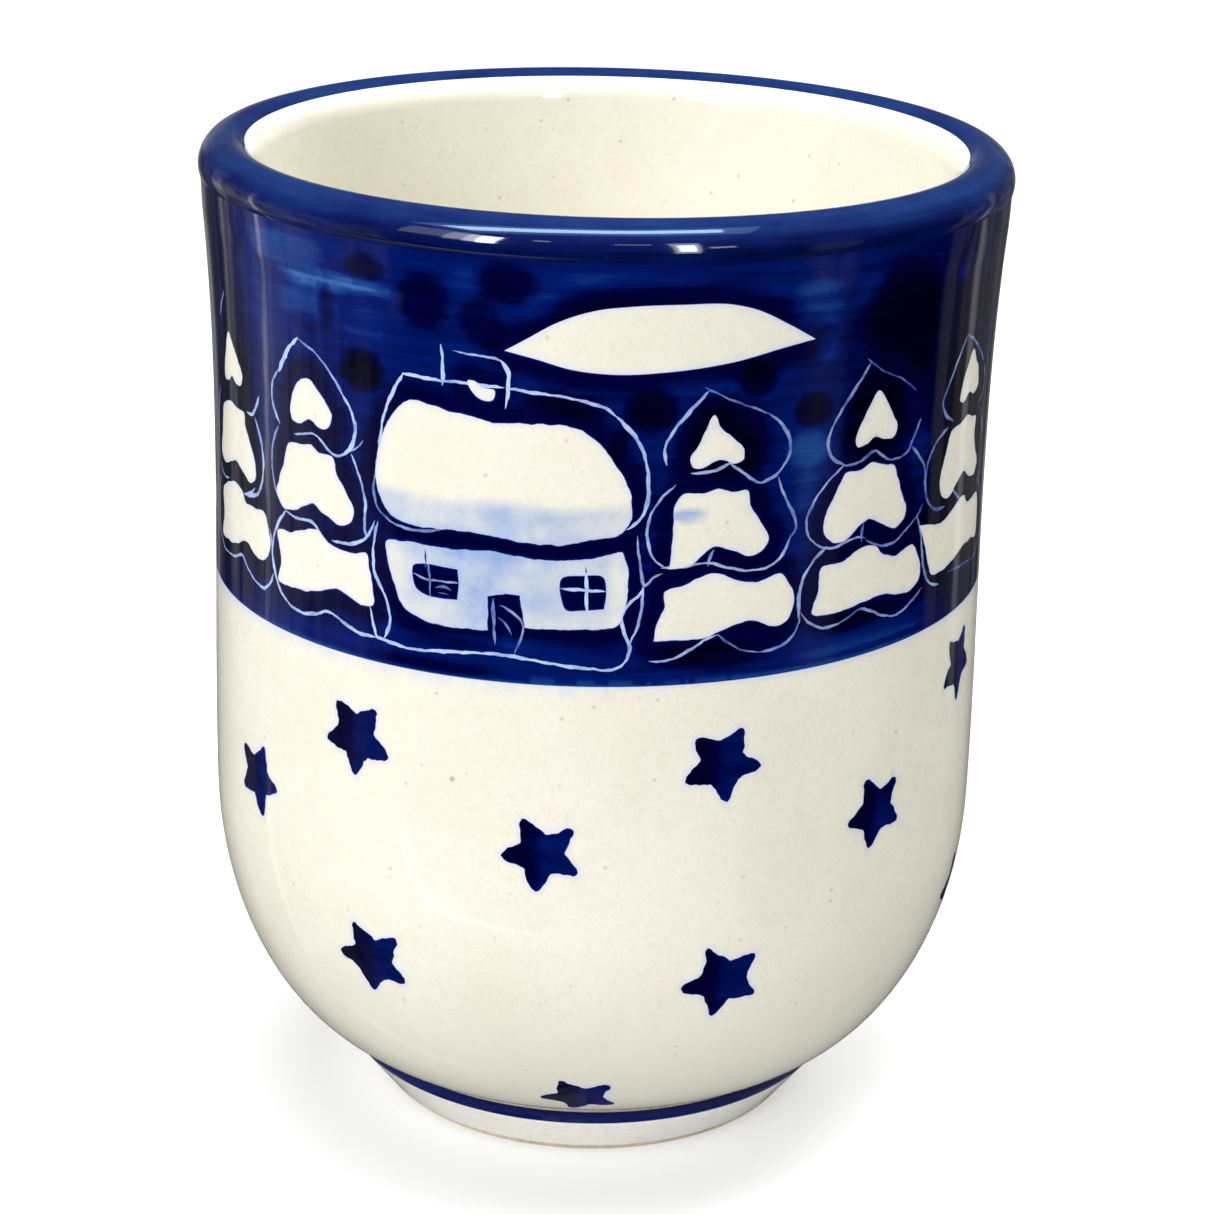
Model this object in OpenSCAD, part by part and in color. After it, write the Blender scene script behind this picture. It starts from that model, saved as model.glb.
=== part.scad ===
// Handleless stoneware cup: one thrown clay body on a low foot, and the
// fired coats laid on it. Millimetres, Z up, origin at the middle of the
// ring the cup stands on, the painted house turned towards -Y.

/* [Body] */
// height over the lip
cup_h = 112; // [90:1:130]
// widest radius of the belly
belly_r = 43.75; // [36:0.25:50]
// height where the round bottom has become the upright wall
belly_z = 38; // [30:1:50]
// how far the round bottom sweeps in under the belly
sweep_r = 19.25; // [12:0.25:24]
// height of the sweep, belly down to the base
sweep_z = 31.2; // [26:0.1:38]
// radius at the waist of the wall
waist_r = 43.2; // [36:0.05:50]
// radius where the wall flares under the lip
flare_r = 44.1; // [36:0.05:50]
// thickness of the wall between the two glazes
wall_t = 3.6; // [2.5:0.1:6]
// height of the inner floor
floor_z = 9; // [7:0.5:14]

/* [Lip] */
// height of the shallow groove under the lip
groove_z = 108.2; // [100:0.1:110]
// radius of the rounded outer side of the lip
lip_r = 3; // [1.5:0.05:4]
// radius of the throat, where the mouth is narrowest
mouth_r = 38.1; // [34:0.05:44]

/* [Foot] */
// height of the crease between foot and body
foot_z = 6.8; // [4:0.1:10]
// outer radius of the foot at the crease
foot_top_r = 29.8; // [24:0.1:34]
// outer radius of the foot near the table
foot_low_r = 25.3; // [20:0.1:30]
// inner radius of the ring the cup stands on
rest_in_r = 21.3; // [16:0.1:26]
// outer radius of the ring the cup stands on
rest_out_r = 24.4; // [18:0.1:28]
// depth of the glazed hollow inside the foot
hollow_z = 3.2; // [1.5:0.1:3.8]

/* [Coats] */
// thickness of glaze and of glazed paint
coat = 0.4; // [0.2:0.05:0.8]
// lower edge of the cobalt band
frieze_z = 64; // [50:0.5:80]
// number of stars in each of the three upper rows
stars_n = 7; // [3:1:12]
// number of stars in the lowest row, close over the foot
low_stars_n = 4; // [2:1:8]
// arm length of a stamped star
star_r = 4.3; // [2:0.1:6]
// radius between two arms
star_in_r = 2.15; // [1:0.05:3]

/* [Hidden] */
$fn = 96;

cobalt = "#0d1f6b";
cream = "#efece0";
wash = "#c9d7ee";
clay = "#d9cfbb";

lip_cr = 44.5 - lip_r;
lip_cz = cup_h - lip_r;
roll_r = 3.3;
repeat = 180;
deg_mm = 180 / (PI * waist_r);
sweep_cr = belly_r - sweep_r;
inner_r = waist_r - wall_t - 2 * coat;
inner_sweep = 17;
inner_cr = inner_r - inner_sweep;

// points of an ellipse or circle, from angle a0 to a1 in n steps
function arc(cr, cz, a, b, a0, a1, n) =
  [for (k = [0:n]) let (w = a0 + (a1 - a0) * k / n) [cr + a * cos(w), cz + b * sin(w)]];
// angle on the round bottom at which it has the radius r
function sweep_angle(r, o) = -acos((r - sweep_cr) / (sweep_r - o));
// outside of the body, o under the finished face, from radius r up to the groove
function side(r, o) = concat(
  arc(sweep_cr, belly_z, sweep_r - o, sweep_z - o, sweep_angle(r, o), 0, 12),
  [[waist_r + 0.5 - o, 58], [waist_r + 0.1 - o, 68], [flare_r + 0.05 - o, 105], [flare_r + 0.15 - o, groove_z]]);
// outside of the lip, o under the finished face, groove to the inner edge
function lip(o) = concat(
  arc(lip_cr, lip_cz, lip_r - o, lip_r - o, -15, 90, 8),
  arc(mouth_r + roll_r, cup_h - roll_r, roll_r - o, roll_r - o, 90, 122, 3));
// inside of the cup, o behind the finished face, floor to mouth
function inside(o) = concat([[0, floor_z - o]],
  arc(inner_cr, belly_z, inner_sweep + o, belly_z - floor_z + o, -90, 0, 12),
  [[inner_r + o, 80], [mouth_r + o, 100], [mouth_r + o, cup_h - roll_r]],
  arc(mouth_r + roll_r, cup_h - roll_r, roll_r - o, roll_r - o, 170, 124, 4));
function rev(p) = [for (k = [len(p) - 1:-1:0]) p[k]];
function last(p) = p[len(p) - 1];

// closed smooth curve through hand-set points; a third value marks a corner
function tang(p, i, j) = let (n = len(p), a = p[(i + n - 1) % n], b = p[i % n], c = p[(i + 1) % n])
  len(b) > 2 ? (j > 0 ? xy(c) - xy(b) : xy(b) - xy(a)) : (xy(c) - xy(a)) / 2;
function xy(p) = [p[0], p[1]];
function curve(p, m) = [for (i = [0:len(p) - 1], k = [0:m - 1]) let (
    t = k / m, a = xy(p[i]), b = xy(p[(i + 1) % len(p)]), ta = tang(p, i, 1), tb = tang(p, i + 1, -1))
    a * (2 * pow(t, 3) - 3 * t * t + 1) + ta * (pow(t, 3) - 2 * t * t + t)
    + b * (3 * t * t - 2 * pow(t, 3)) + tb * (pow(t, 3) - t * t)];

// outlines as painted, in millimetres round the wall and up it
cloud = [[-9.6, 98.9, 1], [-4.4, 102.1], [1.5, 103.8], [7, 104], [12.5, 103.8], [17.5, 102.2],
  [21.8, 99.7, 1], [14.5, 98.2], [7.2, 97.3], [0.6, 97], [-4.5, 97.7]];
roof = [[-23.9, 84], [-22.4, 89.9], [-19.9, 92.6], [-10.5, 91.4], [-4.2, 91.6], [-0.3, 90.1],
  [2.4, 86.5], [3.2, 83], [2.4, 80.6], [-5, 79.2], [-14.2, 79.7], [-20.3, 79.6], [-23, 81.2]];
chimney_snow = [[-13.5, 95.5], [-12, 94.9], [-10.6, 94.8], [-10.8, 93.7], [-12.2, 93.8]];
front = [[-22.7, 77.2], [-15.5, 77.6], [-6.9, 77.5], [-1.5, 77.7], [2.9, 78.5], [3.1, 74.9],
  [2.2, 70.9], [-1.5, 70.3], [-7.3, 70.1, 1], [-7.8, 73.5, 1], [-11.2, 73.1, 1],
  [-11.1, 69.5, 1], [-15.5, 69.3], [-20.5, 70.6], [-21.9, 73.5]];
panes = [[-19.4, 75.2, -14.4, 72.2], [-3.5, 75.7, 0.8, 72.4]];
// each tree: small, middle and wide lobe
trees = [
  [[[-32.8, 92.4], [-30.5, 90.4], [-29.8, 88.5], [-31.3, 87.5], [-32.9, 88.1], [-34.6, 87.4],
    [-35.9, 87.9], [-35.4, 90.8]],
   [[-36.5, 84.9], [-32.8, 85.4], [-29.6, 84.7], [-27.8, 81.3], [-26.8, 79.2], [-28.5, 77.7],
    [-32.6, 79.1], [-36, 77.6], [-38.8, 78.4], [-38, 81.5]],
   [[-38.9, 74.5], [-34.2, 75.9], [-32.1, 76.4], [-29.2, 75.1], [-25.1, 75.2], [-24.1, 70.3],
    [-26.2, 69.8], [-29.2, 70.7], [-33.3, 69.4], [-38.6, 69.2], [-38.4, 72]]],
  [[[11.4, 92.6], [12.7, 90.8], [14.8, 88.4], [13.6, 87.5], [11.7, 88], [10, 87.2], [9.1, 88.1],
    [10.2, 90.3]],
   [[8.4, 84.5], [12.2, 85], [15.2, 84.5], [16.8, 81], [17.8, 79.2], [16.1, 77.6], [12.2, 78.9],
    [9.6, 77.1], [7.2, 76.8], [7.6, 81.3]],
   [[6.8, 74.2], [12, 76], [15, 74.9], [19.7, 75], [21, 72.3], [18.9, 69.8], [15.6, 70.6],
    [11.1, 69.2], [5.9, 69.1], [6.8, 72]]],
  [[[30.6, 93.1], [32.2, 91.2], [33.8, 88.7], [32.4, 87.6], [30.5, 88.2], [28.4, 87.5], [28, 88.8],
    [29.2, 91.2]],
   [[27, 84.9], [30.4, 85.4], [33.8, 84.4], [35.4, 81], [36, 78.9], [34.5, 77.5], [30.2, 79.4],
    [27, 77.6], [24.4, 78.6], [25.3, 82.5]],
   [[24.2, 75], [30.2, 76.5], [34, 74.6], [37.9, 74.9], [39.3, 72], [37.7, 70], [31, 70.5],
    [23.4, 70.2], [24, 73]]],
  [[[48.9, 93.8], [50.5, 92], [51.6, 89.5], [50.3, 88.6], [48.8, 89.2], [46.4, 88.6], [46.6, 90.8]],
   [[44.6, 85.9], [49, 86.5], [51.7, 85.7], [52.5, 82], [53.8, 80], [51.5, 79], [48.5, 80.2],
    [44.5, 78.4], [42.7, 80], [43.3, 83]],
   [[39, 76.7], [44, 76.2], [48.5, 77.4], [51.5, 76.2], [55.2, 76], [55.4, 71.3], [50.5, 71.6],
    [45, 70.5], [41.4, 71], [40.2, 74.5]]],
  [[[68.2, 93.2], [70.2, 91], [71.2, 88.8], [70, 87.8], [68.2, 88.5], [66, 87.8], [66.3, 90.4]],
   [[64.8, 85], [68.3, 85.6], [71.3, 84.8], [73, 81], [73.7, 79], [71.8, 77.8], [68.2, 79.2],
    [64.5, 77.8], [62.6, 79.3], [63.2, 82.3]],
   [[61, 75.6], [67.8, 76.5], [71.5, 75], [75.6, 75.3], [76.6, 72.4], [74.6, 70.2], [69, 70.9],
    [64, 69.7], [61.2, 70.2], [60.7, 73]]],
  [[[87.3, 93.6], [89.6, 91.2], [90.6, 89.4], [89.2, 88.3], [87.4, 88.8], [85.1, 88], [85.8, 91]],
   [[84.4, 85.1], [87, 85.8], [91, 85.4], [92.4, 82.8], [93.6, 80], [92, 78.4], [88, 79.5],
    [84, 78.3], [82.6, 79.2], [83.2, 82]],
   [[83.4, 75.2], [87.6, 77.1], [91, 75.9], [95.4, 75.8], [96.7, 72.8], [94.8, 70.3], [91, 71.3],
    [86.5, 69.8], [82.5, 69.7], [83.4, 72.4]]]];
// rows of stars: position round the wall, radius, height, lean of the face, how many
rows = [[-26.4, waist_r + 0.2, 55, 0, stars_n], [-5.3, belly_r, 45.3, 0, stars_n],
  [-24.8, 42.8, 29.4, 10, stars_n], [-0.8, 35.6, 12.5, 37, low_stars_n]];

module turned(p) rotate_extrude() polygon(p);
// the skin between the finished face and the clay, from height z0 to z1
module skin(z0, z1) rotate([0, 0, -13]) intersection() {
  turned(concat(side(foot_top_r, 0), rev(side(foot_top_r, coat))));
  translate([0, 0, z0]) cylinder(r = belly_r + 5, h = z1 - z0);
}
// an outline stood up in front of the wall, u0 round from the front
module stand(p, u0) rotate([0, 0, u0 * deg_mm]) translate([0, -belly_r + 6, 0]) rotate([90, 0, 0])
  linear_extrude(height = 10) polygon([for (q = p) [waist_r * sin((q[0] - u0) * deg_mm), q[1]]]);
module twice() for (a = [0, repeat]) rotate([0, 0, a]) children();
module clouds() twice() stand(curve(cloud, 4), 6);
module roofs() twice() { stand(curve(roof, 3), -10); stand(curve(chimney_snow, 2), -12); }
module lobes() twice() for (t = trees) for (p = t) stand(curve(p, 3), t[0][0][0]);
module pane(p) stand([[p[0], p[3]], [p[2], p[3]], [p[2], p[1]], [p[0], p[1]]], (p[0] + p[2]) / 2);
module fronts() twice() difference() {
  stand(curve(front, 3), -10);
  for (p = panes) pane(p);
}
module star() linear_extrude(height = 4, center = true)
  polygon([for (k = [0:9]) let (r = k % 2 == 0 ? star_r : star_in_r) [r * sin(36 * k), r * cos(36 * k)]]);
module stars() for (r = rows) for (k = [0:r[4] - 1])
  rotate([0, 0, r[0] * deg_mm + k * 360 / r[4]]) translate([0, -r[1], r[2]])
    rotate([90 + r[3], 0, 0]) rotate([0, 0, 180 + 23 * k + 5 * r[3]]) star();

module clay_body() color(clay) turned(concat(
  [[0, hollow_z + coat], [rest_in_r - 1.3, hollow_z + coat], [rest_in_r, 0], [rest_out_r, 0],
   [foot_low_r - coat, 0.9], [foot_top_r - coat - 0.2, foot_z - 0.2]],
  side(foot_top_r - 0.4, coat), lip(coat), rev(inside(coat))));
module inner_glaze() color(cream) turned(concat(inside(0), rev(inside(coat))));
module lip_coat() color(cobalt) turned(concat([last(side(foot_top_r, 0))], lip(0), rev(lip(coat)),
  [last(side(foot_top_r, coat))]));
module frieze_coat() color(cobalt) difference() {
  skin(frieze_z, groove_z);
  clouds();
  roofs();
  lobes();
  fronts();
}
module cloud_reserve() color(cream) intersection() { skin(frieze_z, groove_z); clouds(); }
module tree_reserve() color(cream) intersection() { skin(frieze_z, groove_z); lobes(); }
module roof_reserve() color(cream) intersection() { skin(frieze_z, groove_z); roofs(); }
module front_reserve() color(wash) intersection() { skin(frieze_z, groove_z); fronts(); }
module lower_glaze() color(cream) difference() { skin(foot_z, frieze_z); stars(); }
module star_stamps() color(cobalt) intersection() { skin(foot_z, frieze_z); stars(); }
// ring on the side of the foot, from share a to share b of its height
function flank(t, o) = [foot_low_r + (foot_top_r - foot_low_r) * t - o, 0.9 + (foot_z - 0.9) * t];
module ring(a, b) turned([flank(a, coat), flank(a, 0), flank(b, 0), flank(b, coat)]);
module foot_line() color(cobalt) ring(0.84, 0.98);
module foot_glaze() color(cream) ring(0, 0.84);
module hollow_glaze() color(cream) translate([0, 0, hollow_z]) cylinder(r = rest_in_r - 1.3, h = coat);

clay_body();
inner_glaze();
lip_coat();
frieze_coat();
cloud_reserve();
tree_reserve();
roof_reserve();
front_reserve();
lower_glaze();
star_stamps();
foot_line();
foot_glaze();
hollow_glaze();
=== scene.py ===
"""A handleless stoneware cup: turned clay, painted coats and a clear glaze, in a plain studio."""
import math
import random

import bpy
import numpy as np
from mathutils import Matrix, Vector
from mathutils.geometry import delaunay_2d_cdt
from mathutils.kdtree import KDTree


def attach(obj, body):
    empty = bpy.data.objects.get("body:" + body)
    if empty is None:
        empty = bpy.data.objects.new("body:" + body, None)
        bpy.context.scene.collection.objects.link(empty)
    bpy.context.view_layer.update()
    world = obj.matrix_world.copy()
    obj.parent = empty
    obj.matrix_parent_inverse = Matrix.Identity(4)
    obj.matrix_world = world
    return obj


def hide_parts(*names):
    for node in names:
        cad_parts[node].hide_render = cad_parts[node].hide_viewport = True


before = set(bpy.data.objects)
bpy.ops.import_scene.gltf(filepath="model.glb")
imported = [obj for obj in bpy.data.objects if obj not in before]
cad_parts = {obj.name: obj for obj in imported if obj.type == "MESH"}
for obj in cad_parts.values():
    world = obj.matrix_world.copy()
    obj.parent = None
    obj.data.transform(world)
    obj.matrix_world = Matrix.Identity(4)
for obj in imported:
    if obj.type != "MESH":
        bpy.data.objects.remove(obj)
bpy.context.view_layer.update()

# ---------------------------------------------------------------- sizes, all in millimetres
MM = 0.001
ROUND = 43.6            # radius of the wall that the painting is measured on
TURN = 2 * math.pi * ROUND
HALF = TURN / 2         # the painting repeats after half a turn
CUP_H = 112.0
BELLY_R, BELLY_Z = 43.75, 38.0
SWEEP_R, SWEEP_Z = 19.25, 31.2     # half axes of the round bottom
FLARE_R, FLARE_Z = 44.1, 104.0
GROOVE_R, GROOVE_Z = 44.25, 108.2
LIP_OUT_R, LIP_R = 44.5, 3.0       # widest radius of the lip and the rounding of its outer side
THROAT_R, ROLL_R = 38.1, 3.4       # the narrowest of the mouth and the rounding of its inner side
BLUE_END = 127          # how far the cobalt goes round the lip, in degrees
INNER_R, INNER_SWEEP = 38.8, 17.0
FLOOR_Z = 9.0
FOOT_TOP_R, FOOT_Z = 29.8, 6.8
FOOT_LOW_R = 25.3
REST_IN_R, REST_OUT_R = 21.3, 24.4
HOLLOW_R, HOLLOW_Z = REST_IN_R - 1.3, 3.2
COAT = 0.4
EDGE_V = 64.35          # height of the band's lower edge, and how far it leans
EDGE_LEAN = 0.55


def rng(seed):
    return random.Random(seed)


# ---------------------------------------------------------------- the turned wall
def arc(cr, cz, a, b, a0, a1, n):
    return [(cr + a * math.cos(math.radians(a0 + (a1 - a0) * k / n)),
             cz + b * math.sin(math.radians(a0 + (a1 - a0) * k / n))) for k in range(n + 1)]


def bezier(p, n):
    out = []
    for k in range(n + 1):
        t = k / n
        w = ((1 - t) ** 3, 3 * (1 - t) ** 2 * t, 3 * (1 - t) * t * t, t ** 3)
        out.append(tuple(sum(c * q[i] for c, q in zip(w, p)) for i in (0, 1)))
    return out


def wall_line():
    """Radius and height of the outside, from the crease at the foot up to the groove under the lip."""
    low = -math.degrees(math.acos((FOOT_TOP_R - 0.9 - BELLY_R + SWEEP_R) / SWEEP_R))
    line = arc(BELLY_R - SWEEP_R, BELLY_Z, SWEEP_R, SWEEP_Z, low, 0, 240)
    line += bezier([(BELLY_R, BELLY_Z), (43.9, 59), (42.4, 83), (FLARE_R, FLARE_Z)], 160)[1:]
    line += bezier([(FLARE_R, FLARE_Z), (44.2, 105.6), (44.24, 107.2), (GROOVE_R, GROOVE_Z)], 40)[1:]
    return np.array(line)


WALL = wall_line()
_step = np.hypot(*np.diff(WALL, axis=0).T)
WALL_V = np.concatenate([[0], np.cumsum(_step)])
WALL_V += 60 - np.interp(60, WALL[:, 1], WALL_V)      # v is the height on the upright wall
_tan = np.gradient(WALL, WALL_V, axis=0)
_tan /= np.hypot(*_tan.T)[:, None]
V_LOW, V_TOP = WALL_V[0], WALL_V[-1]


def on_wall(u, v, h=0.0):
    """Points and outward normals at u round the wall and v up it, h proud of it, in metres."""
    u, v = np.asarray(u, float), np.asarray(v, float)
    r, z = np.interp(v, WALL_V, WALL[:, 0]), np.interp(v, WALL_V, WALL[:, 1])
    tr, tz = np.interp(v, WALL_V, _tan[:, 0]), np.interp(v, WALL_V, _tan[:, 1])
    s, c = np.sin(u / ROUND), np.cos(u / ROUND)
    n = np.stack([tz * s, -tz * c, -tr], -1)
    n /= np.linalg.norm(n, axis=-1)[..., None]
    p = np.stack([r * s, -r * c, z], -1) + n * h
    return p * MM, n


def band_edge(u):
    return EDGE_V + EDGE_LEAN * np.sin(np.asarray(u) / ROUND - math.radians(20))


# ---------------------------------------------------------------- curves of the painting
def smooth(points, closed=True, step=0.3):
    """Smooth line through given points; a third value marks a corner."""
    n = len(points)
    xy = [np.array(p[:2], float) for p in points]
    corner = [len(p) > 2 for p in points]
    if not closed:
        corner[0] = corner[-1] = True

    def tangent(i, way):
        a, b, c = xy[(i - 1) % n], xy[i % n], xy[(i + 1) % n]
        if corner[i % n]:
            return (c - b) if way > 0 else (b - a)
        d0, d1 = np.linalg.norm(b - a), np.linalg.norm(c - b)
        t = ((b - a) / d0 * d1 + (c - b) / d1 * d0) / (d0 + d1)
        return t * (d1 if way > 0 else d0)
    out = []
    for i in range(n if closed else n - 1):
        a, b = xy[i], xy[(i + 1) % n]
        ta, tb = tangent(i, 1), tangent(i + 1, -1)
        m = max(2, int(np.linalg.norm(b - a) / step))
        for k in range(m):
            t = k / m
            out.append(a * (2 * t ** 3 - 3 * t * t + 1) + ta * (t ** 3 - 2 * t * t + t)
                       + b * (3 * t * t - 2 * t ** 3) + tb * (t ** 3 - t * t))
    if not closed:
        out.append(xy[-1])
    return np.array(out)


def along(line):
    """How far along the line each point is, and which way is sideways there."""
    s = np.concatenate([[0], np.cumsum(np.hypot(*np.diff(line, axis=0).T))])
    t = np.gradient(line, axis=0)
    return s, np.stack([t[:, 1], -t[:, 0]], -1) / (np.hypot(*t.T)[:, None] + 1e-9)


def wander(line, size, seed):
    """The small unevenness of a hand-cut edge; it dies away where the closed line meets itself."""
    r = rng(seed)
    w = [(r.uniform(0, 6.3), r.uniform(1.1, 3.2), r.uniform(0.4, 1)) for _ in range(5)]
    s, nrm = along(line)
    k = sum(a * (np.sin(s * f + p) + 0.5 * np.sin(s * f * 2.7 + 2 * p)) for p, f, a in w) * size / 2
    k = k * np.minimum(1, np.minimum(s, s[-1] - s) / 1.5)
    return line + nrm * k[:, None]


def ribbon(points, width, seed):
    """A line scratched with a needle: a thin closed strip of uneven width."""
    line = smooth(points, False, 0.4)
    r = rng(seed)
    s, nrm = along(line)
    p, q = r.uniform(0, 6.3), r.uniform(0, 6.3)
    uneven = 1 + 0.2 * np.sin(s * 0.9 + p) + 0.16 * np.sin(s * 2.3 + q) + 0.12 * np.sin(s * 5.1 + p)
    ends = np.clip(np.minimum(s, s[-1] - s) / 0.7, 0.12, 1)
    half = (width / 2 * uneven * ends)[:, None]
    side = line + nrm * (0.03 * np.sin(s * 2.9 + q) + 0.02 * np.sin(s * 6.1 + p))[:, None]
    return np.concatenate([side + nrm * half, (side - nrm * half)[::-1]])


CLOUD = [(-9.6, 98.9, 1), (-7.5, 100.2), (-4.4, 102.1), (-0.5, 103.5), (2.5, 103.9), (7.5, 104.1),
         (12.9, 103.9), (14.8, 103.4), (18.7, 101.5), (21.8, 99.7, 1), (18.7, 99.2), (12.9, 98.0),
         (7.2, 97.3), (0.6, 97.0), (-3.2, 97.4), (-6.3, 98.2)]
ROOF = [(-23.95, 84.0), (-23.6, 86.7), (-22.4, 89.9), (-21.0, 91.8), (-19.9, 92.6), (-17.8, 92.5),
        (-15.5, 92.1), (-13.3, 91.8), (-10.5, 91.4), (-7.8, 91.5), (-4.2, 91.6), (-2.1, 91.2),
        (-0.3, 90.1), (1.05, 88.3), (2.4, 86.5), (3.2, 84.0), (3.2, 81.7), (2.4, 80.6),
        (-0.1, 79.9), (-4.2, 79.1), (-6.9, 79.1), (-10.5, 79.5), (-14.2, 79.7), (-17.8, 79.5),
        (-20.3, 79.6), (-22.4, 80.4), (-23.5, 82.0)]
CHIMNEY_SNOW = [(-13.4, 95.5), (-12.7, 95.5), (-11.9, 94.9), (-10.6, 94.7), (-10.8, 93.7),
                (-11.9, 93.6), (-12.9, 94.3)]
FRONT = [(-22.7, 77.2), (-20.5, 77.6), (-15.5, 77.6), (-10.5, 77.9), (-6.9, 77.5), (-1.5, 77.7),
         (2.5, 78.6, 1), (3.0, 77.2), (3.1, 74.9), (2.9, 72.6), (2.2, 70.9), (-1.5, 70.3),
         (-7.3, 70.1, 1), (-7.8, 73.5, 1), (-9.6, 73.5), (-11.2, 73.1, 1), (-11.1, 69.5, 1),
         (-15.5, 69.3), (-18.7, 69.7), (-20.5, 70.6), (-21.9, 73.5), (-22.6, 75.8)]
PANES = [[(-19.4, 75.3), (-18.4, 75.6), (-16.0, 75.6), (-14.45, 75.55, 1), (-14.3, 74.0), (-14.45, 72.3, 1),
          (-16.5, 72.2), (-17.9, 72.3), (-19.1, 72.9), (-19.5, 74.0)],
         [(-3.6, 75.6), (-1.4, 76.0), (0.6, 75.9), (0.95, 74.2), (0.75, 72.5, 1), (-1.5, 72.3),
          (-3.1, 72.3), (-3.6, 73.5)]]
# strokes of the blue brush over the white front: width, points
INK = [(0.22, [(-18.05, 77.2), (-18.0, 75.4)]), (0.2, [(-1.15, 77.0), (-1.1, 75.9)])]
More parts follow.
